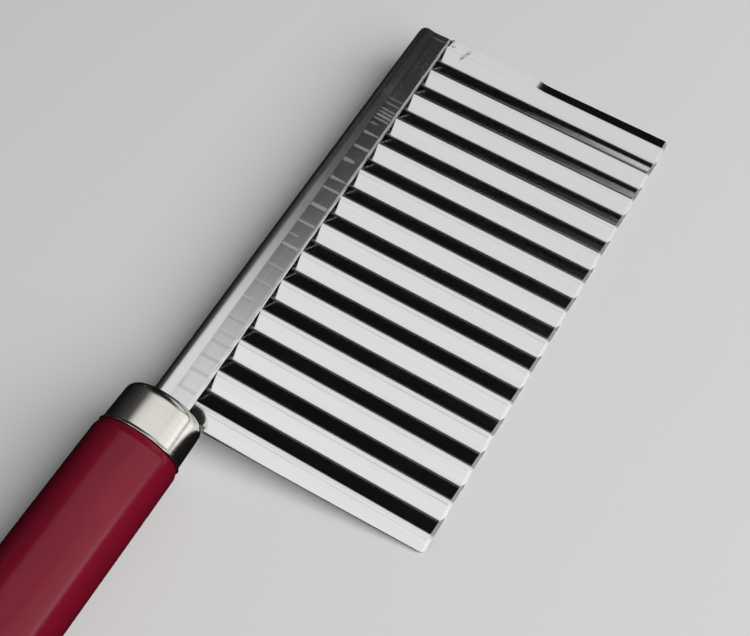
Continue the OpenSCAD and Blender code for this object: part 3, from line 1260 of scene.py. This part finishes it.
@dataclass
class Handle(Piece):
    """The round handle: a slight belly, a rounded butt with a hang hole, and a neck in the ferrule."""

    node: str = "handle"
    slot: str = "handle_gloss"
    front_d: float = 21.0
    belly_d: float = 21.4
    belly_at: float = 62.0
    butt_d: float = 19.7
    butt_round: float = 8.0
    butt_power: float = 2.4
    front_round: float = 1.75
    front_drop: float = 0.6
    front_power: float = 1.4
    neck_r: float = 8.93
    seat_gap: float = 0.2
    hole_d: float = 5.0
    hole_flare: float = 0.8
    hole_rise: float = 1.5
    drill_over: float = 1.0
    rod_depth: float = 60.3
    rod_over: float = 2.0
    neck_edge: float = 0.3
    neck_inner: float = 0.6
    neck_foot: float = 1.0
    steps: int = 192
    hole_steps: int = 64
    flare_steps: int = 9
    front_steps: int = 15
    body_first: float = 0.12
    body_steps: int = 72
    butt_steps: int = 26
    sharp: float = 30.0

    def __post_init__(self) -> None:
        """Takes the handle's places from the frame."""
        box, ferrule = Extent.of("handle"), Extent.of("ferrule")
        self.butt_x, self.neck_x = float(box.low[0]), float(box.high[0])
        self.front_x = float(ferrule.low[0]) - self.seat_gap
        self.face_x = float(ferrule.high[0])

    def body_r(self, behind: float) -> float:
        """Radius of the body at a distance behind its front."""
        if behind < self.belly_at:
            span, end_d = self.belly_at, self.front_d
        else:
            span, end_d = self.front_x - self.butt_x - self.butt_round - self.belly_at, self.butt_d
        share = (behind - self.belly_at) / span
        return (self.belly_d - (self.belly_d - end_d) * share * share) / 2

    def profile(self) -> list[Pair]:
        """Radius and X from the neck's end to the butt's tip."""
        neck = [
            (0.0, self.neck_x),
            (self.neck_r * self.neck_inner, self.neck_x),
            (self.neck_r - self.neck_edge, self.neck_x),
            (self.neck_r, self.neck_x - self.neck_edge),
            (self.neck_r, self.front_x + self.neck_foot),
            (self.neck_r, self.front_x),
        ]
        front_r = self.body_r(self.front_round) - self.front_drop
        shoulder = []
        for share in np.linspace(1.0, 0.0, self.front_steps):
            rise = self.front_drop * (1.0 - share**self.front_power)
            shoulder.append((front_r + rise, self.front_x - self.front_round * (1.0 - share)))
        body_end = self.front_x - self.butt_x - self.butt_round
        even = np.linspace(self.front_round, body_end, self.body_steps + 1)
        places = [self.front_round + self.body_first, *even[1:]]
        body = [(self.body_r(behind), self.front_x - behind) for behind in places]
        butt = []
        for turn in np.linspace(0.0, math.pi / 2, self.butt_steps + 1)[1:-1]:
            share = math.sin(turn)
            left = (1.0 - share**self.butt_power) ** (1.0 / self.butt_power)
            butt.append((self.butt_d / 2 * left, self.butt_x + self.butt_round * (1.0 - share)))
        return [*neck, *shoulder, *body, *butt, (0.0, self.butt_x)]

    def rod_drill(self) -> bpy.types.Object:
        """Cutter for the rod's hole."""
        cutter = pin("rod_drill", ROD_HOLE_R, self.rod_over, -self.rod_depth)
        cutter.location = (self.face_x * MM, ROD_RISE * MM, 0.0)
        cutter.rotation_euler = (0.0, 0.0, ROD_CANT)
        return cutter

    def hole_drill(self) -> bpy.types.Object:
        """Cutter for the hang hole, which opens out where it meets the surface."""
        rise = self.hole_rise * self.hole_flare
        top = self.body_r(self.front_x) + self.drill_over
        start = top - self.drill_over - rise
        radius = self.hole_d / 2
        flare = [
            (radius + self.hole_flare * (1 - math.cos(a)), start + rise * math.sin(a))
            for a in np.linspace(0.0, math.pi / 2, self.flare_steps)
        ]
        wide = radius + self.hole_flare
        upper = [(0.0, top), (wide, top), *reversed(flare)]
        drill = [*upper, *((r, -along) for r, along in reversed(upper))]
        cutter = lathe("hang_drill", drill, self.hole_steps, PIN_SHARP)
        cutter.rotation_euler = (0.0, -math.pi / 2, 0.0)
        return cutter

    def build(self) -> bpy.types.Object:
        """Turns the handle and cuts its two holes."""
        grip = lathe("crimson_handle", self.profile(), self.steps, self.sharp)
        cut(grip, self.rod_drill(), self.sharp)
        cut(grip, self.hole_drill(), self.sharp)
        return grip

    def finish(self) -> Finish:
        """Deep crimson gloss."""
        return GlossPaint(
            name="handle_crimson_gloss", colour=(0.2, 0.0052, 0.0205), shade=(0.18, 0.0046, 0.0185),
            roughness=0.2, spread=0.07, metallic=0.0, specular=0.27, relief=0.004, dust=(0.55, 0.4, 0.4),
        )


def dress_rod(rod: bpy.types.Object) -> None:
    """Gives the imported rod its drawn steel."""
    finish = BrushedSteel(
        name="rod_drawn_steel", colour=(0.55, 0.56, 0.57), shade=(0.4, 0.4, 0.41), roughness=0.3, spread=0.15,
        metallic=1.0, specular=0.5, relief=0.002, stretch=(60.0, 2200.0, 2200.0), smudge_scale=140.0,
        scratch_scale=200.0,
    )
    rod.data.materials.clear()
    rod.data.materials.append(finish.material())


class Reach(Enum):
    """What a lamp lights."""

    MIRRORS = "mirrors"
    MATTE = "matte"


@dataclass(frozen=True)
class SoftLamp:
    """A flat lamp with an even glow, where a glow of 1 mirrors as white."""

    GLOW_TO_WATTS = 4.0

    name: str
    centre: Triple
    aim: Triple
    size: Pair
    glow: float
    reach: Reach

    def build(self) -> None:
        """Hangs the lamp, out of the camera's sight."""
        lamp = bpy.data.lights.new(self.name, "AREA")
        lamp.shape = "RECTANGLE"
        lamp.size, lamp.size_y = self.size[0] * MM, self.size[1] * MM
        lamp.energy = self.GLOW_TO_WATTS * self.glow * lamp.size * lamp.size_y
        hung = bpy.data.objects.new(self.name, lamp)
        hung.location = Vector(self.centre) * MM
        hung.rotation_euler = Vector(self.aim).to_track_quat("-Z", "Y").to_euler()
        hung.visible_camera = False
        hung.visible_glossy = self.reach is not Reach.MATTE
        hung.visible_diffuse = self.reach is not Reach.MIRRORS
        bpy.context.scene.collection.objects.link(hung)


DARK = 0.005


@dataclass(frozen=True)
class MirrorCard:
    """A card that only mirrors see, as a studio sets beside bright metal. A tone of 1 is white."""

    name: str
    corners: tuple[Triple, ...]
    tone: float = DARK

    @classmethod
    def across_x(cls, name: str, x: float, y: Pair, z: Pair, tone: float = DARK) -> MirrorCard:
        """An upright card at a place along X."""
        return cls(name, ((x, y[0], z[0]), (x, y[1], z[0]), (x, y[1], z[1]), (x, y[0], z[1])), tone)

    @classmethod
    def across_y(cls, name: str, y: float, x: Pair, z: Pair, tone: float = DARK) -> MirrorCard:
        """An upright card at a place along Y."""
        return cls(name, ((x[0], y, z[0]), (x[1], y, z[0]), (x[1], y, z[1]), (x[0], y, z[1])), tone)

    @classmethod
    def level(cls, name: str, z: float, outline: Iterable[Pair], tone: float = DARK) -> MirrorCard:
        """A level card at a height, with an outline in X and Y."""
        return cls(name, tuple((x, y, z) for x, y in outline), tone)

    def build(self) -> None:
        """Stands the card up."""
        mesh = bpy.data.meshes.new(self.name)
        mesh.from_pydata([tuple(Vector(corner) * MM) for corner in self.corners], [], [(0, 1, 2, 3)])
        material = bpy.data.materials.new(self.name)
        material.use_nodes = True
        material.node_tree.nodes.clear()
        bench = Bench(material.node_tree)
        glow = bench.add("Emission", {"Color": rgba((self.tone, self.tone, self.tone)), "Strength": 1.0})
        bench.add("OutputMaterial", {"Surface": glow.outputs[0]})
        mesh.materials.append(material)
        card = bpy.data.objects.new(self.name, mesh)
        card.visible_camera = False
        card.visible_diffuse = False
        card.visible_shadow = False
        card.visible_transmission = False
        bpy.context.scene.collection.objects.link(card)


@dataclass
class Studio:
    """A pale table, soft lamps, cards for the mirrors and a pale surround."""

    table_half: float = 3000.0
    table_x: float = 100.0
    card_lift: float = 0.5
    belly_r: float = 10.7
    table_tilt: float = math.radians(8.56)
    surround: float = 0.8
    fill: float = 0.08

    def build(self) -> None:
        """Sets the stage."""
        self.table()
        for lamp in self.lamps():
            lamp.build()
        for card in self.cards():
            card.build()
        self.world()

    def table_z(self, y: float) -> float:
        """Height of the table at a place across it."""
        return -self.belly_r / math.cos(self.table_tilt) - y * math.tan(self.table_tilt)

    def table(self) -> None:
        """Lays the table under the handle's belly and the cutting edge."""
        finish = PaleFloor(
            name="pale_table", colour=(0.9, 0.9, 0.9), shade=(0.88, 0.88, 0.88), roughness=0.7, spread=0.1,
            metallic=0.0, specular=0.1, relief=0.01,
        )
        half = self.table_half * MM
        mesh = bpy.data.meshes.new("pale_table")
        corners = [(-half, -half, 0), (half, -half, 0), (half, half, 0), (-half, half, 0)]
        mesh.from_pydata(corners, [], [(0, 1, 2, 3)])
        mesh.materials.append(finish.material())
        table = bpy.data.objects.new("pale_table", mesh)
        table.location = (self.table_x * MM, 0.0, self.table_z(0.0) * MM)
        table.rotation_euler = (-self.table_tilt, 0.0, 0.0)
        table.visible_glossy = False
        table.visible_diffuse = False
        bpy.context.scene.collection.objects.link(table)

    def lamps(self) -> tuple[SoftLamp, ...]:
        """The overhead lamp, the one on the cutting edge's side, and a key that mirrors don't see."""
        down, inward, slant = (0.0, 0.0, -1.0), (0.0, 1.0, 0.0), (0.0, 0.64, -0.76)
        return (
            SoftLamp("overhead_lamp", (-10.0, -172.0, 600.0), down, (980.0, 1176.0), 0.68, Reach.MIRRORS),
            SoftLamp("front_lamp", (75.0, -760.0, 385.0), inward, (1250.0, 440.0), 0.72, Reach.MIRRORS),
            SoftLamp("key_lamp", (10.0, -1355.0, 1630.0), slant, (2200.0, 1800.0), 3.2, Reach.MATTE),
        )

    def cards(self) -> tuple[MirrorCard, ...]:
        """All cards, where the photograph's reflections come from."""
        return (
            *self.far_wall(), *self.ceiling(), *self.ground(),
            *self.ceiling_steps(), *self.front_and_back(),
        )

    def far_wall(self) -> tuple[MirrorCard, ...]:
        """Dark cards past the blade's far end, open low on the cutting edge's side, and a low glow."""
        x, top = 640, 620
        return (
            MirrorCard.across_x("far_card", x, (-90, 30), (25, top)),
            MirrorCard("far_glow", ((639, -90, 25), (639, 132, 25), (639, 24, 62), (639, -90, 98)), 0.95),
            MirrorCard.across_x("far_back_card", x, (30, 520), (-60, top)),
            MirrorCard.across_x("far_side_card", x, (-400, -90), (250, top)),
        )

    def ceiling(self) -> tuple[MirrorCard, ...]:
        """A dark card round the overhead lamp and a dim bar under it."""
        around = ((-760, -790), (650, -790), (650, 530), (-760, 530))
        bar = ((80, -150), (140, -150), (200, -420), (160, -420))
        return (
            MirrorCard.level("ceiling_card", 606, around),
            MirrorCard.level("ceiling_bar", 597, bar, 0.15),
        )

    def ceiling_steps(self) -> tuple[MirrorCard, ...]:
        """Strips that dim the overhead lamp in steps towards the far end."""
        z, front, back = 598, -350, 530
        edges = (
            (292, 462), (327, 470), (362, 480), (397, 490), (430, 500), (470, 515), (515, 540), (590, 600)
        )
        tones = (0.46, 0.31, 0.2, 0.12, 0.06, 0.025, 0.01)
        cards = []
        for low, high, tone in zip(edges, edges[1:], tones):
            outline = ((low[1], front), (high[1], front), (high[0], back), (low[0], back))
            cards.append(MirrorCard.level(f"ceiling_step_{low[0]}", z, outline, tone))
        return tuple(cards)

    def ground(self) -> tuple[MirrorCard, ...]:
        """Cards on the table, dark all round and paler under the blade."""
        reach = self.table_half
        near, far, edge, spine, front, back = 112.0, 232.0, -66.0, 4.0, -115.0, 600.0
        outlines = (
            (((-reach, spine), (reach, spine), (reach, back), (-reach, back)), DARK),
            (((-reach, edge), (near, edge), (near, spine), (-reach, spine)), DARK),
            (((near, edge), (far, edge), (far, spine), (near, spine)), 0.2),
            (((far, edge), (reach, edge), (reach, spine), (far, spine)), DARK),
            (((-reach, front), (reach, front), (reach, edge), (-reach, edge)), DARK),
            (((-reach, -400.0), (165.0, -400.0), (110.0, front), (-reach, front)), DARK),
        )
        cards = []
        for number, (outline, tone) in enumerate(outlines):
            corners = tuple((x, y, self.table_z(y) + self.card_lift) for x, y in outline)
            cards.append(MirrorCard(f"table_card_{number}", corners, tone))
        return tuple(cards)

    def front_and_back(self) -> tuple[MirrorCard, ...]:
        """A dark front with bright bands low on it, and dim cards behind the spine."""
        front, back, grip = -758, 520, (-550, 250)
        rows = ((-90, 100, 0.016), (100, 300, 0.03), (300, 620, 0.055))
        return (
            MirrorCard.across_y("front_card", -780, (-760, 950), (-20, 640)),
            MirrorCard.across_y("low_band", front, (250, 700), (-40, 190), 1.15),
            MirrorCard.across_y("grip_band", front, grip, (-40, 190), 3.4),
            MirrorCard.across_y("grip_glow", front, grip, (190, 420), 1.45),
            MirrorCard.across_y("dim_card", 515, (-250, 150), (150, 235), 0.2),
            *(
                MirrorCard.across_y(f"back_card_{low}", back, (-700, 640), (low, high), tone)
                for low, high, tone in rows
            ),
        )

    def world(self) -> None:
        """Makes the surround: pale for the camera and in mirrors, dimmer as a light."""
        world = bpy.data.worlds.new("pale_surround")
        world.use_nodes = True
        world.node_tree.nodes.clear()
        bench = Bench(world.node_tree)
        path = bench.add("LightPath").outputs
        seen = bench.math("MAXIMUM", path["Is Camera Ray"], path["Is Glossy Ray"])
        seen = bench.math("MAXIMUM", seen, path["Is Transmission Ray"])
        level = bench.plus(bench.times(seen, self.surround - self.fill), self.fill)
        glow = bench.add("Background", {"Color": rgba((1.0, 1.0, 1.0)), "Strength": level})
        bench.add("OutputWorld", {"Surface": glow.outputs[0]})
        bpy.context.scene.world = world


@dataclass(frozen=True)
class PhotoCamera:
    """The camera at the photograph's place, in the frame of the solids."""

    place: Triple = (22.644, -92.455, 257.036)
    right: Triple = (0.5094, -0.86006, 0.02838)
    up: Triple = (0.74893, 0.45935, 0.4776)
    forward: Triple = (0.4238, 0.22204, -0.87812)
    lens: float = 61.68
    sensor: float = 36.0
    clip: Pair = (0.01, 20.0)

    def build(self) -> None:
        """Places the camera and makes it the scene's."""
        data = bpy.data.cameras.new("photo_camera")
        data.lens, data.sensor_width, data.sensor_fit = self.lens, self.sensor, "HORIZONTAL"
        data.clip_start, data.clip_end = self.clip
        camera = bpy.data.objects.new("photo_camera", data)
        axes = (Vector(self.right), Vector(self.up), -Vector(self.forward))
        turn = Matrix(axes).transposed().to_4x4()
        camera.matrix_world = Matrix.Translation(Vector(self.place) * MM) @ turn
        bpy.context.scene.collection.objects.link(camera)
        bpy.context.scene.camera = camera


def main() -> None:
    """Builds the pieces, the stage and the camera."""
    logging.basicConfig(level=logging.INFO, format="%(name)s: %(message)s")
    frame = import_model()
    for maker in (Blade(), Spine(), Ferrule(), Handle()):
        piece = maker.build()
        maker.dress(piece)
        LOG.info("%s stands for %s with %d faces", piece.name, maker.node, len(piece.data.polygons))
    dress_rod(frame["nodes"]["tang_rod"])
    LOG.info("tang_rod keeps its solid")
    Studio().build()
    PhotoCamera().build()
    bpy.context.scene.view_settings.view_transform = "Standard"


if __name__ == "__main__":
    main()
